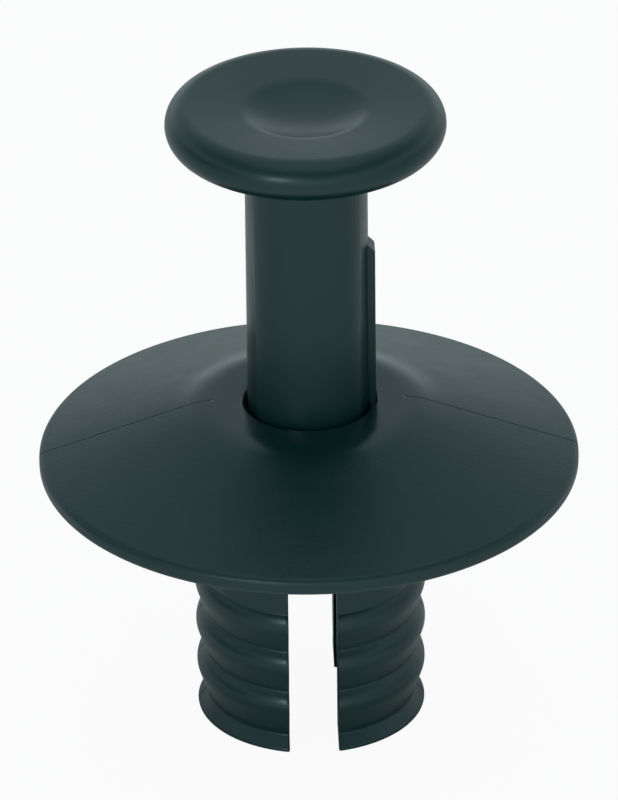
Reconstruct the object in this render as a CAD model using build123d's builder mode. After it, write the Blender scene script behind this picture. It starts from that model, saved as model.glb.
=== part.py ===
from build123d import *

import os
from math import cos, radians, tan

# Plastic push rivet: a flanged grommet with a split, ribbed shank, and the drive pin that spreads it.
#
# Frame: millimetres, +Z up towards the pin's head. The origin is on the rivet's axis, in the plane
# where the flange seats on a panel. The pin stands raised, as the rivet is supplied, and it travels
# down along -Z until its head lies on the crown of the flange.

# ------------------------------------------------------------------ driving dimensions: grommet
flange_radius = 10.0
rim_thickness = 0.6
rim_round = 0.28            # of the rim's upper edge
rim_break = 0.2             # 45-degree break between the rim's wall and the seat
cone_angle = 19.3           # slope of the flange between its crown and its rim, in degrees
crown_height = 2.72         # of the flat crown above the seat
crown_round = 3.0           # blend from the crown into the cone
seat_land = 1.4             # width of the flat ring that bears on the panel
root_web = 0.5              # of the cone at the root of the shank, inside the dished underside

neck_radius = 4.07          # plain part of the shank, which lies in the panel
shank_length = 10.05        # from the seat to the ends of the legs
rib_count = 3               # full ribs; the legs end on the crest of one more
rib_pitch = 1.72
rib_height = 0.23           # of the first rib's crest above the neck
rib_flank_angle = 25.0      # of a rib's flanks to the axis, in degrees
rib_round = 0.3             # on the crests and at the end of the neck
leg_end_chamfer = 0.12      # on the outer edge of the legs' ends
shank_draft = 0.67          # narrowing of the ribs towards the ends of the legs, in degrees

slot_width = 1.82           # the slot along Y that parts the shank into legs at -X and +X
slot_top_depth = 1.4        # from the seat down to the top of the slot, which is round
mouth_round = 0.3           # lip of the bore in the crown
mouth_turn = 50.0           # how far the lip's rounding turns before it breaks into the bore, in degrees

# ---------------------------------------------------------------- driving dimensions: drive pin
shaft_radius = 2.25
head_radius = 5.15
head_thickness = 1.56       # the head's edge is a full round of this thickness
head_lift = 10.66           # gap between the head and the crown while the pin stands raised
head_web = 0.2              # of the cone between the shaft and the underside of the head
top_slope = 5.0             # fall of the head's top from its edge towards the dimple, in degrees
dimple_radius = 2.3
dimple_depth = 0.42         # of the dimple's floor below its edge

tip_overrun = 1.5           # of the tip past the ends of the legs, once the pin is home
tip_chamfer = 0.3
wedge_length = 3.4          # of the two flats on the pin's nose, which face the legs
wedge_tip_width = 2.6       # across the flats at the tip

key_reach = 2.5             # from the axis to the outer face of the key on the +X side
key_width = 0.8
key_head_gap = 4.12         # from the underside of the head down to the upper end of the key
key_tip_gap = 1.4           # from the tip up to the lower end of the key

run_clearance = 0.05        # between the pin and the bore, the keyway and the ramps
cut_margin = 1.0            # how far a cutting shape runs past what it cuts

# ------------------------------------------------------------------------------ worked-out sizes
leg_end_z = -shank_length
rib_crest_radius = neck_radius + rib_height
cone_slope = tan(radians(cone_angle))
flank_slope = tan(radians(rib_flank_angle))
flank_blunting = rib_round * (1 / cos(radians(rib_flank_angle)) - 1)

head_underside_z = crown_height + head_lift
head_top_z = head_underside_z + head_thickness
head_ring_radius = head_radius - head_thickness / 2
home_tip_z = leg_end_z - tip_overrun
tip_z = home_tip_z + head_lift

wedge_slope = (shaft_radius - wedge_tip_width / 2) / wedge_length
wedge_clearance = run_clearance * (1 + wedge_slope**2) ** 0.5
bore_radius = shaft_radius + run_clearance
keyway_reach = key_reach + run_clearance
keyway_width = key_width + 2 * run_clearance


def flange_corners():
    """Corners of the flange's half section as (radius, height, rounding), from the crown down."""
    crown_edge = flange_radius - (crown_height - rim_thickness) / cone_slope
    relief_radius = flange_radius - rim_break - seat_land
    web_radius = neck_radius + root_web
    web_height = (relief_radius - web_radius) * cone_slope
    return [
        (crown_edge, crown_height, crown_round),
        (flange_radius, rim_thickness, rim_round),
        (flange_radius, rim_break, 0),
        (flange_radius - rim_break, 0, 0),
        (relief_radius, 0, 0),
        (web_radius, web_height, 0),
        (neck_radius, web_height - root_web, 0),
    ]


def rib_corners():
    """Corners of the neck and the ribs, from the end of the neck down to the ends of the legs."""
    tip_radius = rib_crest_radius + flank_blunting
    valley_drop = rib_pitch / 2 * flank_slope
    first_crest_z = leg_end_z + rib_count * rib_pitch
    neck_end_z = first_crest_z + (tip_radius - neck_radius) / flank_slope
    corners = [(neck_radius, neck_end_z, rib_round)]
    for rib in range(rib_count):
        crest_z = first_crest_z - rib * rib_pitch
        crest_radius = tip_radius - rib * rib_pitch * tan(radians(shank_draft))
        corners.append((crest_radius, crest_z, rib_round))
        corners.append((crest_radius - valley_drop, crest_z - rib_pitch / 2, 0))
    end_radius = rib_crest_radius - rib_count * rib_pitch * tan(radians(shank_draft))
    corners.append((end_radius, leg_end_z + leg_end_chamfer, 0))
    corners.append((end_radius - leg_end_chamfer, leg_end_z, 0))
    return corners


# ------------------------------------------------- the space that the bore leaves for the drive pin
# A round bore with a rounded lip, two ramps near the ends of the legs, parallel to the pin's wedge
# when the pin is home, and a keyway along +X that keeps the wedge's flats facing the legs.
with BuildPart() as pin_space:
    with BuildSketch(Plane.XY.offset(leg_end_z - cut_margin)):
        Circle(bore_radius)
    extrude(amount=shank_length + crown_height + 2 * cut_margin)

    with BuildSketch(Plane.XZ) as ramps:
        ramp_end = wedge_tip_width / 2 + tip_overrun * wedge_slope + wedge_clearance
        ramp_top_z = leg_end_z + (bore_radius - ramp_end) / wedge_slope
        below_z = leg_end_z - cut_margin
        below = ramp_end - cut_margin * wedge_slope
        with BuildLine():
            Polyline(
                (bore_radius, ramp_top_z),
                (below, below_z),
                (bore_radius + cut_margin, below_z),
                (bore_radius + cut_margin, ramp_top_z),
                close=True,
            )
        make_face()
        mirror(about=Plane.YZ)
    extrude(amount=bore_radius + cut_margin, both=True, mode=Mode.SUBTRACT)

    with BuildSketch(Plane.XY.offset(leg_end_z - cut_margin)):
        Rectangle(keyway_reach, keyway_width, align=(Align.MIN, Align.CENTER))
    extrude(amount=shank_length + crown_height + 2 * cut_margin)

    with BuildSketch(Plane.XZ) as lip:
        lip_radius = bore_radius + mouth_round
        with BuildLine():
            rounding = CenterArc((lip_radius, crown_height - mouth_round), mouth_round, 90, mouth_turn)
            Polyline(
                rounding @ 1,
                (bore_radius, crown_height - mouth_round),
                (0, crown_height - mouth_round),
                (0, crown_height),
                (lip_radius, crown_height),
            )
        make_face()
    revolve(axis=Axis.Z)

# --------------------------------------------------------------------------------------- grommet
with BuildPart() as grommet:
    with BuildSketch(Plane.XZ) as half_section:
        corners = flange_corners() + rib_corners()
        outline = [(0, crown_height)] + [corner[:2] for corner in corners] + [(0, leg_end_z)]
        with BuildLine():
            FilletPolyline(*outline, radius=[corner[2] for corner in corners])
            Line((0, leg_end_z), (0, crown_height))
        make_face()
    revolve(axis=Axis.Z)

    add(pin_space.part, mode=Mode.SUBTRACT)

    with BuildSketch(Plane.XZ) as slot:
        slot_round_z = -slot_top_depth - slot_width / 2
        with Locations((0, slot_round_z)):
            Circle(slot_width / 2)
            Rectangle(slot_width, shank_length, align=(Align.CENTER, Align.MAX))
    extrude(amount=rib_crest_radius + cut_margin, both=True, mode=Mode.SUBTRACT)

# ------------------------------------------------------------------------------------- drive pin
with BuildPart() as drive_pin:
    with BuildSketch(Plane.XZ) as pin_section:
        with BuildLine():
            Polyline(
                (0, tip_z),
                (shaft_radius - tip_chamfer, tip_z),
                (shaft_radius, tip_z + tip_chamfer),
                (shaft_radius, head_underside_z - head_web),
                (shaft_radius + head_web, head_underside_z),
                (head_ring_radius, head_underside_z),
            )
            ring_centre = (head_ring_radius, head_top_z - head_thickness / 2)
            edge = CenterArc(ring_centre, head_thickness / 2, -90, 180 + top_slope)
            top_fall = ((edge @ 1).X - dimple_radius) * tan(radians(top_slope))
            dimple_edge = (dimple_radius, (edge @ 1).Y - top_fall)
            dimple_floor = (0, (edge @ 1).Y - top_fall - dimple_depth)
            Line(edge @ 1, dimple_edge)
            TangentArc(dimple_floor, dimple_edge, tangent=(1, 0))
            Line(dimple_floor, (0, tip_z))
        make_face()
    revolve(axis=Axis.Z)

    with BuildSketch(Plane.XZ) as wedge_flats:
        with BuildLine():
            Polyline(
                (shaft_radius, tip_z + wedge_length),
                (wedge_tip_width / 2, tip_z),
                (wedge_tip_width / 2, tip_z - cut_margin),
                (shaft_radius + cut_margin, tip_z - cut_margin),
                (shaft_radius + cut_margin, tip_z + wedge_length),
                close=True,
            )
        make_face()
        mirror(about=Plane.YZ)
    extrude(amount=shaft_radius + cut_margin, both=True, mode=Mode.SUBTRACT)

    with BuildSketch(Plane.XZ) as key:
        key_top_z = head_underside_z - key_head_gap
        key_end_z = tip_z + key_tip_gap
        key_height = key_reach - shaft_radius
        with BuildLine():
            Polyline(
                (0, key_top_z),
                (shaft_radius, key_top_z),
                (key_reach, key_top_z - key_height),
                (key_reach, key_end_z + key_height),
                (shaft_radius, key_end_z),
                (0, key_end_z),
                close=True,
            )
        make_face()
    extrude(amount=key_width / 2, both=True)

# ---------------------------------------------------------------------------------------- output
grommet.part.label = "grommet"
drive_pin.part.label = "drive_pin"

os.makedirs("parts", exist_ok=True)
export_step(grommet.part, "parts/grommet.step")
export_step(drive_pin.part, "parts/drive_pin.step")
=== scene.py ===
"""Dresses the plastic push rivet: the grommet with its split, ribbed shank, and the drive pin."""

import logging
from collections.abc import Callable
from dataclasses import dataclass, field
from enum import Enum
from math import asin, cos, hypot, pi, radians, sin, sqrt, tan
from typing import ClassVar

import bpy
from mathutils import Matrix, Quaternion, Vector


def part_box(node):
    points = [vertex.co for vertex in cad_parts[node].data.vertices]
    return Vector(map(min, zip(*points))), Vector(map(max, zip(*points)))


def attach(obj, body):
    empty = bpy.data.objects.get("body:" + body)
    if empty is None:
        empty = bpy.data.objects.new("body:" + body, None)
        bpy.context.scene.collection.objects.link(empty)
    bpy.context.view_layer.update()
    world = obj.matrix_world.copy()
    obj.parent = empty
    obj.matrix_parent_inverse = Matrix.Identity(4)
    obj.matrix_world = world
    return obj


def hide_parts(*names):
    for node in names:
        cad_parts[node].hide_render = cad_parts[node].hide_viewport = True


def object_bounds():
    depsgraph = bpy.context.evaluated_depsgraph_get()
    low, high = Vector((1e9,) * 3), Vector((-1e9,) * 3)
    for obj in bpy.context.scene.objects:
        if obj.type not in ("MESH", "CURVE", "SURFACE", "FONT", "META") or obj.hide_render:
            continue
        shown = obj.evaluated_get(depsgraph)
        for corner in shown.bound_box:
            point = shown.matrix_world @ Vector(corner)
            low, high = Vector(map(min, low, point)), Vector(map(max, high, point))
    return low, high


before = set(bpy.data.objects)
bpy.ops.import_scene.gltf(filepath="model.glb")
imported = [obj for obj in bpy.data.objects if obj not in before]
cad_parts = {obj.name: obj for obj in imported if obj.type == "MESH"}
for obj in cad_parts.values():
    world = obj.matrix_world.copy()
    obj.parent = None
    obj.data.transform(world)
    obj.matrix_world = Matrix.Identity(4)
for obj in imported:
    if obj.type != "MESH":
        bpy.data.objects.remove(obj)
CAD_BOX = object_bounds()

MM = 0.001                  # one millimetre, in the scene's metres
CLOSE = 0.002               # two points nearer than this are the same point, in millimetres
ON_PLANE = CLOSE / 10       # a point nearer than this to a cutting plane lies on it
STRAIGHT = 1e-6             # the sine of a turn that is too small to round
CUT_MARGIN = 1.0            # how far a cutting shape runs past what it cuts, in millimetres
SMOOTH_ANGLE = 33.0         # edges that turn less than this are shaded smooth, in degrees

Triple = tuple[float, float, float]
Socket = bpy.types.NodeSocket

log = logging.getLogger("push_rivet")


class Cut(Enum):
    """How one solid changes another."""

    REMOVE = "DIFFERENCE"
    JOIN = "UNION"


@dataclass(frozen=True)
class Point:
    """A point of a half section: its distance from the axis and its height, in millimetres."""

    radius: float
    height: float

    def towards(self, other: "Point") -> "Point":
        """The step from this point to another."""
        return Point(other.radius - self.radius, other.height - self.height)

    def moved(self, step: "Point", share: float = 1.0) -> "Point":
        """This point, moved by a share of a step."""
        return Point(self.radius + step.radius * share, self.height + step.height * share)

    def length(self) -> float:
        """The length of this step."""
        return hypot(self.radius, self.height)


@dataclass(frozen=True)
class Corner:
    """A corner of a half section, with the radius that rounds it and the steps of that round."""

    point: Point
    rounding: float = 0.0
    steps: int = 6


class SectionPen:
    """Draws a half section in the XZ plane of the mesh in edit mode, from point to point."""

    def __init__(self, start: Point) -> None:
        """Moves the mesh's only point, which is selected, to the start."""
        self.at = start
        bpy.ops.transform.translate(value=(start.radius, 0, start.height))

    def line_to(self, point: Point) -> None:
        """Draws a straight run to a point.

        Args:
            point: The point, which is passed over where the pen is already there.
        """
        step = self.at.towards(point)
        if step.length() > CLOSE:
            bpy.ops.mesh.extrude_region_move(
                TRANSFORM_OT_translate={"value": (step.radius, 0, step.height)}
            )
            self.at = point

    def arc_about(self, centre: Point, turn: float, steps: int) -> None:
        """Draws an arc about a centre.

        Args:
            centre: The centre of the arc.
            turn: The angle that the arc covers, in radians, above zero from +X towards +Z.
            steps: The number of straight steps that stand for the arc.
        """
        bpy.ops.mesh.spin(
            steps=steps,
            angle=abs(turn),
            center=(centre.radius, 0, centre.height),
            axis=(0, 1 if turn > 0 else -1, 0),
        )
        arm = centre.towards(self.at)
        self.at = Point(
            centre.radius + arm.radius * cos(turn) - arm.height * sin(turn),
            centre.height + arm.radius * sin(turn) + arm.height * cos(turn),
        )

    def corner(self, corner: Corner, after: Point) -> None:
        """Draws a run up to a corner and its rounding.

        Args:
            corner: The corner.
            after: The next corner's point, which the outline goes on to.
        """
        before, ahead = self.at.towards(corner.point), corner.point.towards(after)
        before_length = before.length()
        scale = before_length * ahead.length()
        cross = (before.radius * ahead.height - before.height * ahead.radius) / scale
        dot = (before.radius * ahead.radius + before.height * ahead.height) / scale
        if not corner.rounding or abs(cross) < STRAIGHT:
            self.line_to(corner.point)
            return
        half_tan = sqrt((1 - dot) / (1 + dot))
        setback = corner.rounding * half_tan
        side = 1 if cross > 0 else -1
        self.line_to(corner.point.moved(before, -setback / before_length))
        unit = Point(before.radius / before_length, before.height / before_length)
        centre = self.at.moved(Point(-unit.height * side, unit.radius * side), corner.rounding)
        turn = 2 * side * _angle_of_half_tan(half_tan)
        self.arc_about(centre, turn, corner.steps)

    def corners(self, corners: list[Corner], after: Point) -> None:
        """Draws a chain of corners that goes on to the point after.

        Args:
            corners: The corners, in order.
            after: The point that the outline goes on to, which isn't drawn.
        """
        ahead = [corner.point for corner in corners[1:]] + [after]
        for corner, point in zip(corners, ahead):
            self.corner(corner, point)


def _angle_of_half_tan(half_tan: float) -> float:
    """The half angle that has this tangent."""
    return Vector((1.0, half_tan)).angle(Vector((1.0, 0.0)))


class Workpiece:
    """A mesh that Blender's operators shape in millimetres, brought to metres when done."""

    def __init__(self, name: str) -> None:
        """Starts with one selected point at the origin, in edit mode.

        Args:
            name: The name of the object and of its mesh.
        """
        deselect_all()
        bpy.context.tool_settings.mesh_select_mode = (True, False, False)
        bpy.ops.mesh.primitive_plane_add(size=1)
        self.obj = bpy.context.object
        self.obj.name = name
        self.obj.data.name = name
        bpy.ops.object.mode_set(mode="EDIT")
        bpy.ops.mesh.merge(type="CENTER")

    def edit(self) -> None:
        """Makes this the only selected object, in edit mode."""
        deselect_all()
        self.obj.select_set(True)
        bpy.context.view_layer.objects.active = self.obj
        bpy.ops.object.mode_set(mode="EDIT")

    def close_up(self) -> None:
        """Merges points that meet and turns the faces outwards."""
        bpy.ops.mesh.select_all(action="SELECT")
        bpy.ops.mesh.remove_doubles(threshold=CLOSE)
        bpy.ops.mesh.normals_make_consistent(inside=False)
        bpy.ops.object.mode_set(mode="OBJECT")

    def select_points(self, wanted: Callable[[Vector], bool]) -> None:
        """Selects the points for which wanted is true, and stays in edit mode.

        Args:
            wanted: Says of a point's place whether it is selected.
        """
        self.edit()
        bpy.context.tool_settings.mesh_select_mode = (True, False, False)
        bpy.ops.mesh.select_all(action="DESELECT")
        bpy.ops.object.mode_set(mode="OBJECT")
        for vertex in self.obj.data.vertices:
            vertex.select = wanted(vertex.co)
        bpy.ops.object.mode_set(mode="EDIT")

    def select_sharp_edges(
        self, wanted: Callable[[Vector, Vector], bool], sharpness: float = 30.0
    ) -> int:
        """Selects the sharp edges for which wanted is true, and stays in edit mode.

        Args:
            wanted: Says of an edge's two ends whether it is selected.
            sharpness: The least angle between the faces beside a sharp edge, in degrees.

        Returns:
            The number of edges selected.
        """
        self.edit()
        bpy.context.tool_settings.mesh_select_mode = (False, True, False)
        bpy.ops.mesh.select_all(action="DESELECT")
        bpy.ops.mesh.edges_select_sharp(sharpness=radians(sharpness))
        bpy.ops.object.mode_set(mode="OBJECT")
        mesh = self.obj.data
        sharp = [edge for edge in mesh.edges if edge.select]
        for group in (mesh.vertices, mesh.edges, mesh.polygons):
            for element in group:
                element.select = False
        chosen = [e for e in sharp if wanted(*(mesh.vertices[v].co for v in e.vertices))]
        for edge in chosen:
            edge.select = True
        bpy.ops.object.mode_set(mode="EDIT")
        return len(chosen)

    def bevel(self, width: float, steps: int = 3) -> None:
        """Rounds the selected edges and leaves edit mode.

        Args:
            width: The width of the rounding to each side of an edge, in millimetres.
            steps: The number of faces across the rounding.
        """
        bpy.ops.mesh.bevel(
            offset=width, offset_type="OFFSET", segments=steps, affect="EDGES", clamp_overlap=False
        )
        bpy.ops.object.mode_set(mode="OBJECT")

    def apply_modifier(self, kind: str, **settings: object) -> None:
        """Adds a modifier with these settings and applies it.

        Args:
            kind: The modifier's type.
            **settings: The modifier's own settings.
        """
        deselect_all()
        self.obj.select_set(True)
        bpy.context.view_layer.objects.active = self.obj
        modifier = self.obj.modifiers.new(kind.lower(), kind)
        for name, value in settings.items():
            setattr(modifier, name, value)
        bpy.ops.object.modifier_apply(modifier=modifier.name)

    def combine(self, cut: Cut, tool: "Workpiece") -> None:
        """Cuts with another solid or joins it on, and uses that solid up."""
        self.apply_modifier("BOOLEAN", operation=cut.value, object=tool.obj, solver="EXACT")
        bpy.data.objects.remove(tool.obj)

    def finish(self) -> bpy.types.Object:
        """Brings the piece to metres and gives it smooth shading.

        Returns:
            The finished object, at the origin, unturned and unscaled.
        """
        self.edit()
        bpy.ops.mesh.select_all(action="SELECT")
        bpy.ops.mesh.remove_doubles(threshold=CLOSE / 2)
        bpy.ops.mesh.normals_make_consistent(inside=False)
        bpy.ops.object.mode_set(mode="OBJECT")
        self.obj.scale = (MM, MM, MM)
        bpy.ops.object.transform_apply(location=True, rotation=True, scale=True)
        bpy.ops.object.shade_smooth_by_angle(angle=radians(SMOOTH_ANGLE))
        # At the highest weight the shading follows the wide faces, and only roundings bend it.
        self.apply_modifier("WEIGHTED_NORMAL", keep_sharp=True, weight=100)
        return self.obj


def deselect_all() -> None:
    """Leaves edit mode and selects nothing."""
    if bpy.context.object and bpy.context.object.mode != "OBJECT":
        bpy.ops.object.mode_set(mode="OBJECT")
    bpy.ops.object.select_all(action="DESELECT")


def box_tool(name: str, low: Triple, high: Triple) -> Workpiece:
    """A block between two corners.

    Args:
        name: The name of the block.
        low: The corner with the least X, Y and Z, in millimetres.
        high: The corner across from it.

    Returns:
        The block, for cutting or joining.
    """
    work = Workpiece(name)
    size = [top - bottom for bottom, top in zip(low, high)]
    bpy.ops.transform.translate(value=low)
    for step in ((size[0], 0, 0), (0, size[1], 0), (0, 0, size[2])):
        bpy.ops.mesh.select_all(action="SELECT")
        bpy.ops.mesh.extrude_region_move(TRANSFORM_OT_translate={"value": step})
    work.close_up()
    return work


# ------------------------------------------------------------------------------------ finishes


class NodeBoard:
    """The nodes of one material or world, joined up as they are added."""

    def __init__(self, owner: bpy.types.Material | bpy.types.World) -> None:
        """Gives the owner an empty set of nodes.

        Args:
            owner: The material or the world that the nodes belong to.
        """
        owner.use_nodes = True
        self.tree = owner.node_tree
        self.tree.nodes.clear()

    def add(
        self, kind: str, inputs: dict[int | str, object] | None = None, **settings: object
    ) -> bpy.types.Node:
        """Adds a node.

        Args:
            kind: The part of the node's type that follows ShaderNode.
            inputs: For an input's name or number, the value it has or the output it is joined to.
            **settings: The node's own settings.

        Returns:
            The new node.
        """
        node = self.tree.nodes.new(f"ShaderNode{kind}")
        for name, value in settings.items():
            setattr(node, name, value)
        for key, value in (inputs or {}).items():
            if isinstance(value, bpy.types.NodeSocket):
                self.tree.links.new(value, node.inputs[key])
            else:
                node.inputs[key].default_value = value
        return node

    def math(self, operation: str, first: Socket | float, second: Socket | float) -> Socket:
        """What an operation, such as ADD, makes of two values."""
        return self.add("Math", {0: first, 1: second}, operation=operation).outputs["Value"]

    def across(self, place: Socket) -> Socket:
        """The level part of a direction or a place, without its height."""
        inputs = {0: place, 1: (1.0, 1.0, 0.0)}
        return self.add("VectorMath", inputs, operation="MULTIPLY").outputs["Vector"]

    def noise(self, place: Socket, size: float, layers: float) -> Socket:
        """A noise whose cells are about size across, in millimetres, with finer layers on it."""
        inputs = {"Vector": place, "Scale": 1 / (size * MM), "Detail": layers}
        return self.add("TexNoise", inputs).outputs["Fac"]

    def between(
        self,
        value: Socket,
        start: tuple[float, float],
        end: tuple[float, float],
        smooth: bool = False,
    ) -> Socket:
        """Maps a value from one range to another.

        Args:
            value: The output that is mapped.
            start: The two ends of the range that the value comes from.
            end: What the value becomes at those two ends.
            smooth: Whether the change is eased at both ends.

        Returns:
            The output with the mapped value.
        """
        inputs = {
            "Value": value,
            "From Min": start[0],
            "From Max": start[1],
            "To Min": end[0],
            "To Max": end[1],
        }
        kind = "SMOOTHSTEP" if smooth else "LINEAR"
        return self.add("MapRange", inputs, interpolation_type=kind).outputs["Result"]


@dataclass(frozen=True)
class MouldedPlastic:
    """Moulded plastic with a fine grain from the mould's wall, and a little unevenness."""

    name: str
    colour: Triple
    pale_colour: Triple
    roughness: float
    roughness_spread: float
    grain_size: float               # of one grain, in millimetres
    grain_depth: float              # in millimetres
    ripple_size: float              # of the slow unevenness of the surface, in millimetres
    ripple_depth: float
    polished_radius: float = 0.0    # nearer to the axis than this the mould is polished
    grained_radius: float = 0.1     # and from here on it has its full grain
    polished_height: float = 1.0    # the polish ends over this height under the plane z = 0
    low_grain: float = 0.45         # how grained the mould is at least, below that height
    polished_roughness: float = 0.2
    mottle_layers: float = 3.0      # of finer and finer noise, in the colour
    ripple_layers: float = 1.0
    grain_layers: float = 2.0
    waver_grains: float = 6.0       # size of the patches that differ in roughness, in grains
    specular_tint: Triple = (0.77, 0.95, 1.0)

    def material(self) -> bpy.types.Material:
        """Builds the material.

        Returns:
            The material, with its nodes joined up.
        """
        material = bpy.data.materials.new(self.name)
        material.diffuse_color = (*self.colour, 1.0)
        board = NodeBoard(material)
        place = board.add("TexCoord").outputs["Object"]
        mottle = {
            "Factor": board.noise(place, self.ripple_size, self.mottle_layers),
            "A": (*self.colour, 1.0),
            "B": (*self.pale_colour, 1.0),
        }
        tint = board.add("Mix", mottle, data_type="RGBA")
        grained = self._grained_share(board, place)
        shader = board.add("BsdfPrincipled", {
            "Base Color": tint.outputs["Result"],
            "Roughness": self._roughness(board, place, grained),
            "Normal": self._relief(board, place, grained),
            "Specular Tint": (*self.specular_tint, 1.0),
        })
        board.add("OutputMaterial", {"Surface": shader.outputs["BSDF"]})
        return material

    def _grained_share(self, board: NodeBoard, place: Socket) -> Socket:
        """How grained the surface is: 0 where the mould is polished, and 1 at its full grain.

        Args:
            board: The nodes of the material.
            place: The place on the piece, as Object coordinates.

        Returns:
            The output with the share of the full grain.
        """
        flat = board.across(place)
        radius = board.add("VectorMath", {0: flat}, operation="LENGTH").outputs["Value"]
        edges = (self.polished_radius * MM, self.grained_radius * MM)
        outer = board.between(radius, edges, (0.0, 1.0), smooth=True)
        height = board.add("SeparateXYZ", {0: place}).outputs["Z"]
        drop = (-self.polished_height * MM, 0.0)
        under = board.between(height, drop, (self.low_grain, 0.0), smooth=True)
        return board.math("MAXIMUM", outer, under)

    def _roughness(self, board: NodeBoard, place: Socket, grained: Socket) -> Socket:
        """The roughness, which wavers a little from place to place.

        Args:
            board: The nodes of the material.
            place: The place on the piece, as Object coordinates.
            grained: How grained the surface is.

        Returns:
            The output with the roughness.
        """
        level = board.between(grained, (0.0, 1.0), (self.polished_roughness, self.roughness))
        patches = board.noise(place, self.grain_size * self.waver_grains, self.grain_layers)
        spread = (-self.roughness_spread, self.roughness_spread)
        return board.math("ADD", level, board.between(patches, (0.0, 1.0), spread))

    def _relief(self, board: NodeBoard, place: Socket, grained: Socket) -> Socket:
        """The slow ripple of the surface with the fine grain on it.

        Args:
            board: The nodes of the material.
            place: The place on the piece, as Object coordinates.
            grained: How grained the surface is.

        Returns:
            The output with the direction that the surface faces.
        """
        ripple = board.add("Bump", {
            "Height": board.noise(place, self.ripple_size, self.ripple_layers),
            "Strength": 1.0,
            "Distance": self.ripple_depth * MM,
        })
        grain = board.add("Bump", {
            "Height": board.noise(place, self.grain_size, self.grain_layers),
            "Strength": grained,
            "Distance": self.grain_depth * MM,
            "Normal": ripple.outputs["Normal"],
        })
        return grain.outputs["Normal"]


GRAINED_PLASTIC = MouldedPlastic(
    name="grained_black_plastic",
    colour=(0.0015, 0.0190, 0.0188),
    pale_colour=(0.0021, 0.0218, 0.0214),
    roughness=0.40,
    roughness_spread=0.05,
    grain_size=0.16,
    grain_depth=0.008,
    ripple_size=1.8,
    ripple_depth=0.012,
    polished_radius=3.8,
    grained_radius=5.4,
    polished_roughness=0.22,
)

SMOOTH_PLASTIC = MouldedPlastic(
    name="smooth_black_plastic",
    colour=(0.0015, 0.0190, 0.0188),
    pale_colour=(0.0021, 0.0218, 0.0214),
    roughness=0.32,
    roughness_spread=0.04,
    grain_size=0.14,
    grain_depth=0.0012,
    ripple_size=1.1,
    ripple_depth=0.008,
)


# -------------------------------------------------------------------------------------- pieces


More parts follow.
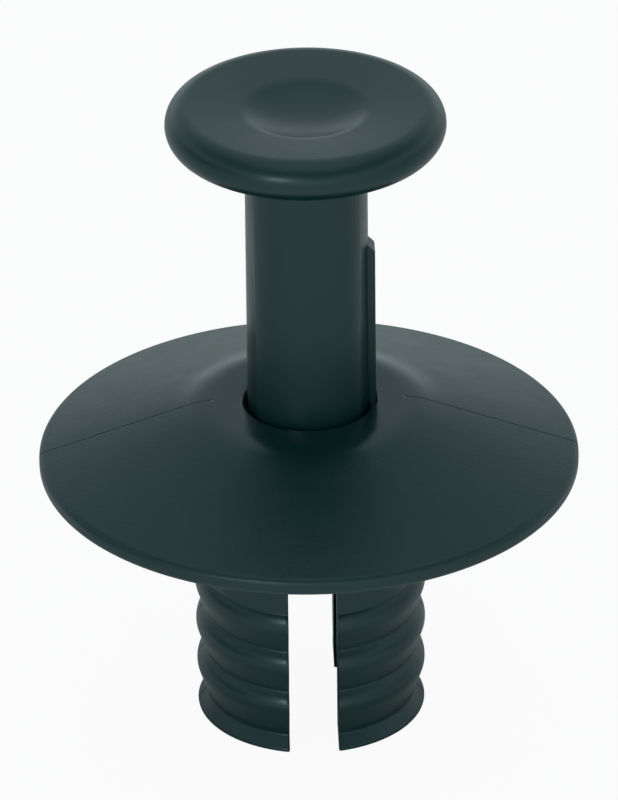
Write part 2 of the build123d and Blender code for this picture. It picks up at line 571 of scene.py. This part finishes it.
@dataclass
class DrivePin:
    """The drive pin: a dished head, a shaft with a key, and a nose with two wedge flats."""

    NODE: ClassVar[str] = "drive_pin"
    BODY: ClassVar[str] = "pin_body"
    SLOT: ClassVar[str] = "pin_plastic"

    head_radius: float = 5.15
    head_thickness: float = 1.56
    head_web: float = 0.2           # round between the shaft and the underside of the head
    top_slope: float = 5.0          # fall of the head's top towards the dimple, in degrees
    dimple_radius: float = 2.3
    dimple_depth: float = 0.42
    dimple_round: float = 1.5       # of the dimple's edge
    shaft_radius: float = 2.25
    tip_chamfer: float = 0.3
    wedge_length: float = 3.4
    wedge_tip_width: float = 2.6
    nose_softening: float = 0.03
    nose_steps: int = 2
    key_reach: float = 2.5
    key_width: float = 0.8
    key_head_gap: float = 4.12
    key_tip_gap: float = 1.4
    key_softening: float = 0.05
    key_root: float = 0.6           # how deep the key is set into the shaft
    turns: int = 192                # faces round the axis
    head_steps: int = 28
    dimple_steps: int = 16

    low: Vector = field(default_factory=lambda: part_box(DrivePin.NODE)[0] / MM)
    high: Vector = field(default_factory=lambda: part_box(DrivePin.NODE)[1] / MM)

    @property
    def top(self) -> float:
        """Height of the head's highest ring."""
        return self.high.z

    @property
    def underside(self) -> float:
        """Height of the underside of the head."""
        return self.high.z - self.head_thickness

    @property
    def tip(self) -> float:
        """Height of the tip."""
        return self.low.z

    def build(self) -> bpy.types.Object:
        """Models the pin and dresses it.

        Returns:
            The finished pin, which rides on its body and stands for its node.
        """
        work = self._turned()
        self._cut_wedge(work)
        self._soften_nose(work)
        work.combine(Cut.JOIN, self._key())
        pin = work.finish()
        pin.data.materials.append(SMOOTH_PLASTIC.material())
        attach(pin, self.BODY)
        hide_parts(self.NODE)
        return pin

    def _turned(self) -> Workpiece:
        """The head and the shaft, as turned round the axis.

        Returns:
            The closed solid, without its key or its flats.
        """
        work = Workpiece("drive_pin_shell")
        ring = self.head_radius - self.head_thickness / 2
        shaft = [
            Corner(Point(self.shaft_radius - self.tip_chamfer, self.tip)),
            Corner(Point(self.shaft_radius, self.tip + self.tip_chamfer)),
            Corner(Point(self.shaft_radius, self.underside), self.head_web),
        ]
        pen = SectionPen(Point(0, self.tip))
        pen.corners(shaft, after=Point(ring, self.underside))
        pen.line_to(Point(ring, self.underside))
        edge_turn = pi + radians(self.top_slope)
        pen.arc_about(Point(ring, self.top - self.head_thickness / 2), edge_turn, self.head_steps)
        self._dimple(pen)

        bpy.ops.mesh.select_all(action="SELECT")
        bpy.ops.mesh.spin(steps=self.turns, angle=2 * pi, center=(0, 0, 0), axis=(0, 0, 1))
        work.close_up()
        return work

    def _dimple(self, pen: SectionPen) -> None:
        """Draws the head's falling top, the dimple's rounded edge and its hollow.

        Args:
            pen: The pen, which stands at the inner end of the head's round edge.
        """
        slope = radians(self.top_slope)
        edge_height = pen.at.height - (pen.at.radius - self.dimple_radius) * tan(slope)
        hollow_radius = (self.dimple_radius**2 + self.dimple_depth**2) / (2 * self.dimple_depth)
        hollow = Point(0, edge_height - self.dimple_depth + hollow_radius)

        # The edge's rounding is centred under the falling top and outside the hollow's sphere.
        top_at_axis = edge_height - self.dimple_radius * tan(slope)
        under = top_at_axis - self.dimple_round / cos(slope) - hollow.height
        reach = hollow_radius + self.dimple_round
        span = sqrt(reach**2 / cos(slope) ** 2 - under**2)
        radius = cos(slope) ** 2 * (span - under * tan(slope))
        centre = Point(radius, hollow.height + under + radius * tan(slope))
        pen.line_to(centre.moved(Point(-sin(slope), cos(slope)), self.dimple_round))
        steepest = asin(radius / reach)
        pen.arc_about(centre, steepest - slope, self.dimple_steps)
        pen.arc_about(hollow, -steepest, self.dimple_steps)

    def _cut_wedge(self, work: Workpiece) -> None:
        """Cuts the two flats of the nose, each along its own plane.

        Args:
            work: The turned pin.
        """
        slope = (self.shaft_radius - self.wedge_tip_width / 2) / self.wedge_length
        for side in (-1, 1):
            work.edit()
            bpy.ops.mesh.select_all(action="SELECT")
            bpy.ops.mesh.bisect(
                plane_co=(side * self.wedge_tip_width / 2, 0, self.tip),
                plane_no=(side, 0, -slope),
                use_fill=True,
                clear_outer=True,
                threshold=ON_PLANE,
            )
            work.close_up()

    def _soften_nose(self, work: Workpiece) -> None:
        """Takes the sharpness off the edges of the tip's flat end."""
        work.select_sharp_edges(lambda a, b: max(a.z, b.z) < self.tip + CLOSE)
        work.bevel(self.nose_softening, self.nose_steps)

    def _key(self) -> Workpiece:
        """The key on the +X side of the shaft, with its two sloping ends.

        Returns:
            The key, set a little way into the shaft.
        """
        work = Workpiece("key")
        inner = self.shaft_radius - self.key_root
        run = self.key_reach - inner
        top = self.underside - self.key_head_gap + (self.shaft_radius - inner)
        bottom = self.tip + self.key_tip_gap - (self.shaft_radius - inner)
        pen = SectionPen(Point(inner, bottom))
        pen.line_to(Point(self.key_reach, bottom + run))
        pen.line_to(Point(self.key_reach, top - run))
        pen.line_to(Point(inner, top))
        pen.line_to(Point(inner, bottom))
        bpy.ops.mesh.select_all(action="SELECT")
        bpy.ops.mesh.remove_doubles(threshold=CLOSE)
        bpy.ops.mesh.select_all(action="SELECT")
        bpy.ops.mesh.edge_face_add()
        bpy.ops.transform.translate(value=(0, -self.key_width / 2, 0))
        bpy.ops.mesh.extrude_region_move(TRANSFORM_OT_translate={"value": (0, self.key_width, 0)})
        work.close_up()
        work.select_sharp_edges(lambda a, b: (a.x + b.x) / 2 > self.shaft_radius)
        work.bevel(self.key_softening)
        return work


@dataclass
class Grommet:
    """The grommet: a coned flange over a shank that a slot parts into two ribbed legs."""

    NODE: ClassVar[str] = "grommet"
    BODY: ClassVar[str] = "grommet_body"
    SLOT: ClassVar[str] = "grommet_plastic"

    rim_thickness: float = 0.6
    rim_round: float = 0.28
    rim_steps: int = 10
    rim_under_round: float = 0.2
    rim_under_steps: int = 8
    cone_angle: float = 19.3        # slope of the flange, in degrees
    crown_height: float = 2.72
    crown_round: float = 3.0
    crown_steps: int = 16
    seat_land: float = 1.4          # width of the flat ring that bears on the panel
    land_round: float = 0.1         # of the ring's inner edge
    land_steps: int = 3
    root_web: float = 0.5           # of the cone at the root of the shank, in the dished underside
    web_round: float = 0.4
    root_round: float = 0.3
    neck_radius: float = 4.07
    rib_count: int = 3
    rib_pitch: float = 1.72
    rib_height: float = 0.23
    rib_shelf_angle: float = 38.0   # of a rib's upper side to the axis, in degrees
    rib_taper_angle: float = 19.0   # of its lower side
    rib_round: float = 0.8
    rib_steps: int = 10
    last_rib_round: float = 0.1
    last_rib_steps: int = 4
    valley_round: float = 0.1
    inner_steps: int = 5            # of the roundings in the valleys and round the web
    lead_length: float = 0.07       # from the last crest to the ends of the legs
    leg_end_round: float = 0.03
    leg_end_steps: int = 2
    shank_draft: float = 0.67       # narrowing of the ribs towards the legs' ends, in degrees
    core_radius: float = 1.0        # of the hole that the turned body has, well inside the bore

    slot_width: float = 1.82
    slot_top_depth: float = 1.4
    slot_steps: int = 24            # of the slot's round top
    slot_softening: float = 0.07
    slot_sharpness: float = 40.0    # the slot's edges that turn more than this are softened
    bore_margin: float = 0.2        # and that lie this far outside the bore
    bore_radius: float = 2.3
    mouth_round: float = 0.3        # lip of the bore
    mouth_steps: int = 7
    ramp_tip_gap: float = 1.7708    # of a ramp from the axis, in the plane of the legs' ends
    ramp_slope: float = 0.2794
    keyway_reach: float = 2.55
    keyway_width: float = 0.9

    seam_half_width: float = 0.03   # of the fine groove where the two halves of the mould met
    seam_depth: float = 0.02        # less than the smallest rounding that it crosses
    fine_turn: float = 74.6         # up to here the body has narrow faces, in degrees
    fine_steps: int = 34
    slot_turn: float = 80.3         # the slot's wall lies in the one wide step between these two
    last_steps: int = 5
    bore_turns: int = 100           # faces round the bore

    low: Vector = field(default_factory=lambda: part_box(Grommet.NODE)[0] / MM)
    high: Vector = field(default_factory=lambda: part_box(Grommet.NODE)[1] / MM)

    @property
    def leg_end(self) -> float:
        """Height of the ends of the legs."""
        return self.low.z

    def build(self) -> bpy.types.Object:
        """Models the grommet and dresses it.

        Returns:
            The finished grommet, which rides on its body and stands for its node.
        """
        work = self._body()
        self._sink_seam(work)
        work.combine(Cut.REMOVE, self._pin_space())
        work.combine(Cut.REMOVE, self._keyway())
        work.combine(Cut.REMOVE, self._slot())
        self._soften_slot(work)
        grommet = work.finish()
        grommet.data.materials.append(GRAINED_PLASTIC.material())
        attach(grommet, self.BODY)
        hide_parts(self.NODE)
        return grommet

    def _flange_corners(self) -> list[Corner]:
        """The flange's corners, from the crown down to the root of the shank.

        Returns:
            The corners, in the order in which they are drawn.
        """
        slope = tan(radians(self.cone_angle))
        radius = self.high.x
        relief = radius - self.rim_under_round - self.seat_land
        web = self.neck_radius + self.root_web
        web_height = (relief - web) * slope
        crown = Point(
            radius - (self.crown_height - self.rim_thickness) / slope, self.crown_height
        )
        root = Point(self.neck_radius, web_height - self.root_web)
        return [
            Corner(crown, self.crown_round, self.crown_steps),
            Corner(Point(radius, self.rim_thickness), self.rim_round, self.rim_steps),
            Corner(Point(radius, 0), self.rim_under_round, self.rim_under_steps),
            Corner(Point(relief, 0), self.land_round, self.land_steps),
            Corner(Point(web, web_height), self.web_round, self.inner_steps),
            Corner(root, self.root_round, self.inner_steps),
        ]

    def _rib_corners(self) -> list[Corner]:
        """The neck's end, the ribs and the valleys, down to the ends of the legs.

        Returns:
            The corners, in the order in which they are drawn.
        """
        shelf = tan(radians(self.rib_shelf_angle))
        taper = tan(radians(self.rib_taper_angle))
        crests = [self._crest(rib) for rib in range(self.rib_count + 1)]
        first = crests[0].point
        neck_end = Point(
            self.neck_radius, first.height + (first.radius - self.neck_radius) / shelf
        )
        corners = [Corner(neck_end, self.valley_round, self.inner_steps)]
        for crest, following in zip(crests, crests[1:]):
            upper, lower = crest.point, following.point
            height = lower.radius - upper.radius + upper.height * taper + lower.height * shelf
            height /= taper + shelf
            valley = Point(upper.radius - (upper.height - height) * taper, height)
            corners += [crest, Corner(valley, self.valley_round, self.inner_steps)]
        last = crests[-1].point
        end = Point(last.radius - (last.height - self.leg_end) * taper, self.leg_end)
        return corners + [crests[-1], Corner(end, self.leg_end_round, self.leg_end_steps)]

    def _crest(self, rib: int) -> Corner:
        """The corner of a rib.

        Args:
            rib: The rib's number, from 0 at the neck. The legs end just past the last one.

        Returns:
            The corner, set so that the widest ring of the rib has its full radius once rounded.
        """
        rounding, steps = self.rib_round, self.rib_steps
        if rib == self.rib_count:
            rounding, steps = self.last_rib_round, self.last_rib_steps
        draft = tan(radians(self.shank_draft))
        height = self.leg_end + self.lead_length + (self.rib_count - rib) * self.rib_pitch
        radius = self.neck_radius + self.rib_height - rib * self.rib_pitch * draft
        depth = rounding / cos(radians(self.rib_shelf_angle + self.rib_taper_angle) / 2)
        lean = radians(self.rib_shelf_angle - self.rib_taper_angle) / 2
        point = Point(radius - rounding + depth * cos(lean), height + depth * sin(lean))
        return Corner(point, rounding, steps)

    def _body(self) -> Workpiece:
        """The flange and the shank: one turned quarter, mirrored, with a hole down the middle.

        Returns:
            A closed body with a narrow strip on each side of the plane y = 0, for the seam.
        """
        work = Workpiece("grommet_shell")
        foot = Point(self.core_radius, self.leg_end)
        head = Point(self.core_radius, self.crown_height)
        pen = SectionPen(head)
        pen.corners(self._flange_corners() + self._rib_corners(), after=foot)
        pen.line_to(foot)
        pen.line_to(head)
        bpy.ops.mesh.select_all(action="SELECT")
        bpy.ops.mesh.remove_doubles(threshold=CLOSE)
        bpy.ops.mesh.select_all(action="SELECT")
        bpy.ops.mesh.extrude_region_move(
            TRANSFORM_OT_translate={"value": (0, self.seam_half_width, 0)}
        )
        turns = (
            (self.fine_turn, self.fine_steps),
            (self.slot_turn - self.fine_turn, 1),
            (90 - self.slot_turn, self.last_steps),
        )
        for angle, steps in turns:
            bpy.ops.mesh.spin(
                steps=steps, angle=radians(angle), center=(0, 0, 0), axis=(0, 0, -1)
            )
        # The turn started beside the strip, so its last section is brought back to x = 0.
        bpy.ops.transform.resize(value=(0, 1, 1), center_override=(0, 0, 0))
        bpy.ops.object.mode_set(mode="OBJECT")
        work.apply_modifier(
            "MIRROR", use_axis=(True, True, False), use_mirror_merge=True, merge_threshold=CLOSE
        )
        work.edit()
        work.close_up()
        return work

    def _sink_seam(self, work: Workpiece) -> None:
        """Moves the points in the parting plane in, but for the flat crown and the legs' ends.

        Args:
            work: The turned body.
        """
        low, high = self.leg_end + CLOSE, self.crown_height - CLOSE
        work.select_points(lambda at: abs(at.y) < CLOSE and low < at.z < high)
        bpy.ops.transform.shrink_fatten(value=-self.seam_depth)
        bpy.ops.object.mode_set(mode="OBJECT")

    def _pin_space(self) -> Workpiece:
        """The space that the drive pin runs in: a bore with a rounded lip, and two ramps.

        Returns:
            The solid to cut away.
        """
        work = Workpiece("pin_space")
        over, under = self.crown_height + CUT_MARGIN, self.leg_end - CUT_MARGIN
        lip = Point(self.bore_radius + self.mouth_round, self.crown_height - self.mouth_round)
        pen = SectionPen(Point(0, under))
        pen.line_to(Point(self.bore_radius, under))
        pen.line_to(Point(self.bore_radius, lip.height))
        pen.arc_about(lip, -pi / 2, self.mouth_steps)
        pen.line_to(Point(lip.radius, over))
        pen.line_to(Point(0, over))
        bpy.ops.mesh.select_all(action="SELECT")
        bpy.ops.mesh.spin(steps=self.bore_turns, angle=2 * pi, center=(0, 0, 0), axis=(0, 0, 1))
        work.close_up()
        for side in (-1, 1):
            work.edit()
            bpy.ops.mesh.select_all(action="SELECT")
            bpy.ops.mesh.bisect(
                plane_co=(side * self.ramp_tip_gap, 0, self.leg_end),
                plane_no=(side, 0, -self.ramp_slope),
                use_fill=True,
                clear_outer=True,
                threshold=ON_PLANE,
            )
            work.close_up()
        return work

    def _keyway(self) -> Workpiece:
        """The keyway that the pin's key rides in, along the +X side of the bore.

        Returns:
            The solid to cut away.
        """
        half = self.keyway_width / 2
        low = (0, -half, self.leg_end - CUT_MARGIN)
        high = (self.keyway_reach, half, self.crown_height + CUT_MARGIN)
        return box_tool("keyway", low, high)

    def _slot(self) -> Workpiece:
        """The slot along Y that parts the shank into two legs, with its round top.

        Returns:
            The solid to cut away.
        """
        work = Workpiece("slot")
        half = self.slot_width / 2
        top = -self.slot_top_depth - half
        reach = self.neck_radius + self.rib_height + CUT_MARGIN
        under = self.leg_end - CUT_MARGIN
        pen = SectionPen(Point(half, under))
        pen.line_to(Point(half, top))
        pen.arc_about(Point(0, top), pi, self.slot_steps)
        pen.line_to(Point(-half, under))
        pen.line_to(Point(half, under))
        bpy.ops.mesh.select_all(action="SELECT")
        bpy.ops.mesh.remove_doubles(threshold=CLOSE)
        bpy.ops.mesh.select_all(action="SELECT")
        bpy.ops.mesh.edge_face_add()
        bpy.ops.transform.translate(value=(0, -reach, 0))
        bpy.ops.mesh.extrude_region_move(
            TRANSFORM_OT_translate={"value": (0, 2 * reach, 0)}
        )
        work.close_up()
        return work

    def _soften_slot(self, work: Workpiece) -> None:
        """Takes the sharpness off the slot's edges, on the outside and at the legs' ends.

        Args:
            work: The grommet, with its slot cut.
        """
        half = self.slot_width / 2
        top = -self.slot_top_depth - half

        def on_wall(at: Vector) -> bool:
            """Whether a point lies on the wall of the slot, outside the bore."""
            if at.z < top:
                return abs(abs(at.x) - half) < CLOSE
            return abs(hypot(at.x, at.z - top) - half) < CLOSE and at.z < 0

        def on_edge(a: Vector, b: Vector) -> bool:
            """Whether an edge lies on that wall, with its middle well outside the bore."""
            middle = (a + b) / 2
            outside = hypot(middle.x, middle.y) > self.bore_radius + self.bore_margin
            return on_wall(a) and on_wall(b) and outside

        count = work.select_sharp_edges(on_edge, self.slot_sharpness)
        log.info("slot edges softened: %d", count)
        work.bevel(self.slot_softening)


# --------------------------------------------------------------------------------------- studio


@dataclass
class SoftLamp:
    """A square area lamp that looks at the rivet."""

    name: str
    azimuth: float          # 0 stands where the camera stands, and 90 to its right, in degrees
    elevation: float
    distance: float         # from the rivet, in metres
    size: float
    radiance: float

    def build(self) -> None:
        """Adds the lamp."""
        data = bpy.data.lights.new(self.name, "AREA")
        data.shape = "SQUARE"
        data.size = self.size
        data.energy = self.radiance * pi * self.size**2
        lamp = bpy.data.objects.new(self.name, data)
        direction = bearing(self.azimuth, self.elevation)
        lamp.location = direction * self.distance
        lamp.rotation_euler = direction.to_track_quat("Z", "Y").to_euler()
        bpy.context.scene.collection.objects.link(lamp)


def bearing(azimuth: float, elevation: float) -> Vector:
    """The unit vector towards a bearing, in degrees. Azimuth 0 is -Y and 90 is +X."""
    a, e = radians(azimuth), radians(elevation)
    return Vector((sin(a) * cos(e), -cos(a) * cos(e), sin(e)))


@dataclass
class LightRing:
    """The room's light at one height: its strength from four sides, blended between them."""

    elevation: float        # in degrees
    front: float
    left: float
    right: float
    back: float

    def level(self, board: NodeBoard, axes: bpy.types.NodeOutputs) -> Socket:
        """The ring's strength in the direction looked in.

        Args:
            board: The nodes of the room.
            axes: The parts of the level direction that is looked in, as a unit vector.

        Returns:
            The output with the strength.
        """
        ends = board.between(axes["Y"], (-1.0, 1.0), (self.front, self.back))
        sides = board.between(axes["X"], (-1.0, 1.0), (self.left, self.right))
        mix = {"Factor": board.math("POWER", axes["Y"], 2.0), "A": sides, "B": ends}
        return board.add("Mix", mix, data_type="FLOAT").outputs["Result"]


@dataclass
class Studio:
    """A plain pale floor, a soft room of light round it, and soft lamps."""

    floor_radius: float = 3.0       # in metres
    floor_turns: int = 96
    floor_colour: Triple = (0.79, 0.80, 0.80)
    seen_lift: float = 0.94         # how far the floor is brought to white for the camera
    front_lift: float = 0.60        # the same for mirrors and glass, in front of the rivet
    back_lift: float = 0.10         # and behind it
    near_radius: float = 0.008      # within this the floor keeps its own shade in mirrors
    far_radius: float = 0.020
    room_colour: tuple[float, float, float, float] = (0.86, 1.0, 1.02, 1.0)
    rings: tuple[LightRing, ...] = (
        LightRing(5, front=1.30, left=0.08, right=0.40, back=1.10),
        LightRing(25, front=0.70, left=0.80, right=0.88, back=0.50),
        LightRing(50, front=0.18, left=0.18, right=0.14, back=0.75),
        LightRing(80, front=0.90, left=0.90, right=0.90, back=0.90),
    )
    lamps: tuple[SoftLamp, ...] = (
        SoftLamp("front_lamp", azimuth=-24, elevation=18, distance=0.9, size=0.16, radiance=11.0),
    )

    def build(self) -> None:
        """Builds the floor, the room and the lamps."""
        self._floor()
        self._room()
        for lamp in self.lamps:
            lamp.build()

    def _floor(self) -> None:
        """A round floor under the legs, with edges that run out of sight."""
        deselect_all()
        bpy.ops.mesh.primitive_circle_add(
            vertices=self.floor_turns,
            radius=self.floor_radius,
            fill_type="NGON",
            location=(0, 0, CAD_BOX[0].z),
        )
        floor = bpy.context.object
        floor.name = "floor"
        bpy.ops.object.transform_apply(location=True, rotation=True, scale=True)
        floor.data.materials.append(self._floor_material())

    def _floor_material(self) -> bpy.types.Material:
        """Pale paper, brought to white for the camera, and far off for mirrors and glass.

        Returns:
            The floor's material.
        """
        material = bpy.data.materials.new("pale_paper")
        board = NodeBoard(material)
        paper = board.add("BsdfDiffuse", {"Color": (*self.floor_colour, 1.0)})
        white = board.add("Emission", {"Color": (1.0, 1.0, 1.0, 1.0), "Strength": 1.0})
        ray = board.add("LightPath").outputs
        mirrored = board.math("MAXIMUM", ray["Is Glossy Ray"], ray["Is Transmission Ray"])
        place = board.add("TexCoord").outputs["Object"]
        radius = board.add("VectorMath", {0: place}, operation="LENGTH").outputs["Value"]
        edges = (self.near_radius, self.far_radius)
        far = board.between(radius, edges, (0.0, 1.0), smooth=True)
        along_y = board.add("SeparateXYZ", {0: place}).outputs["Y"]
        behind = board.math("DIVIDE", along_y, radius)
        lifts = (self.front_lift, self.back_lift)
        lift = board.between(behind, (-1.0, 0.0), lifts, smooth=True)
        mirrored_share = board.math("MULTIPLY", mirrored, board.math("MULTIPLY", far, lift))
        seen_share = board.math("MULTIPLY", ray["Is Camera Ray"], self.seen_lift)
        share = board.math("MAXIMUM", mirrored_share, seen_share)
        mix = board.add("MixShader", {0: share, 1: paper.outputs[0], 2: white.outputs[0]})
        board.add("OutputMaterial", {"Surface": mix.outputs[0]})
        return material

    def _room(self) -> None:
        """The light from all round, which changes gently from ring to ring."""
        world = bpy.data.worlds.new("room")
        bpy.context.scene.world = world
        board = NodeBoard(world)
        direction = board.add("TexCoord").outputs["Generated"]
        height = board.add("SeparateXYZ", {0: direction}).outputs["Z"]
        flat = board.across(direction)
        way = board.add("VectorMath", {0: flat}, operation="NORMALIZE").outputs["Vector"]
        axes = board.add("SeparateXYZ", {0: way}).outputs
        level = self.rings[0].level(board, axes)
        for lower, upper in zip(self.rings, self.rings[1:]):
            heights = (sin(radians(lower.elevation)), sin(radians(upper.elevation)))
            rise = board.between(height, heights, (0.0, 1.0))
            mix = {"Factor": rise, "A": level, "B": upper.level(board, axes)}
            level = board.add("Mix", mix, data_type="FLOAT").outputs["Result"]
        light = board.add("Background", {"Color": self.room_colour, "Strength": level})
        board.add("OutputWorld", {"Surface": light.outputs[0]})


@dataclass
class Viewpoint:
    """The camera: in front of the rivet and above it, far off, with a long lens."""

    azimuth: float = -1.3
    elevation: float = 28.91
    roll: float = -0.597            # of the camera about its own line of sight, in degrees
    distance: float = 0.4           # in metres
    lens: float = 486.8             # in millimetres
    sensor: float = 36.0            # along its long side, in millimetres
    near: float = 0.01              # what is nearer than this is not seen, in metres
    far: float = 20.0               # nor what is farther than this
    aim: Triple = (0.0000238, 0.0, 0.002632)

    def build(self) -> None:
        """Adds the camera and makes it the scene's."""
        data = bpy.data.cameras.new("camera")
        data.lens = self.lens
        data.sensor_width = self.sensor
        data.clip_start = self.near
        data.clip_end = self.far
        camera = bpy.data.objects.new("camera", data)
        back = bearing(self.azimuth, self.elevation)
        camera.location = Vector(self.aim) + back * self.distance
        camera.rotation_mode = "QUATERNION"
        level = (-back).to_track_quat("-Z", "Y")
        camera.rotation_quaternion = Quaternion(back, radians(self.roll)) @ level
        bpy.context.scene.collection.objects.link(camera)
        bpy.context.scene.camera = camera


def main() -> None:
    """Builds the camera, the studio and the two pieces, and reports each piece."""
    logging.basicConfig(level=logging.INFO, format="%(name)s: %(message)s")
    bpy.context.scene.view_settings.view_transform = "Standard"
    Viewpoint().build()
    Studio().build()
    for maker in (Grommet, DrivePin):
        piece = maker().build()
        triangles = sum(len(face.vertices) - 2 for face in piece.data.polygons)
        log.info("%s: %d triangles", piece.name, triangles)


if __name__ == "__main__":
    main()
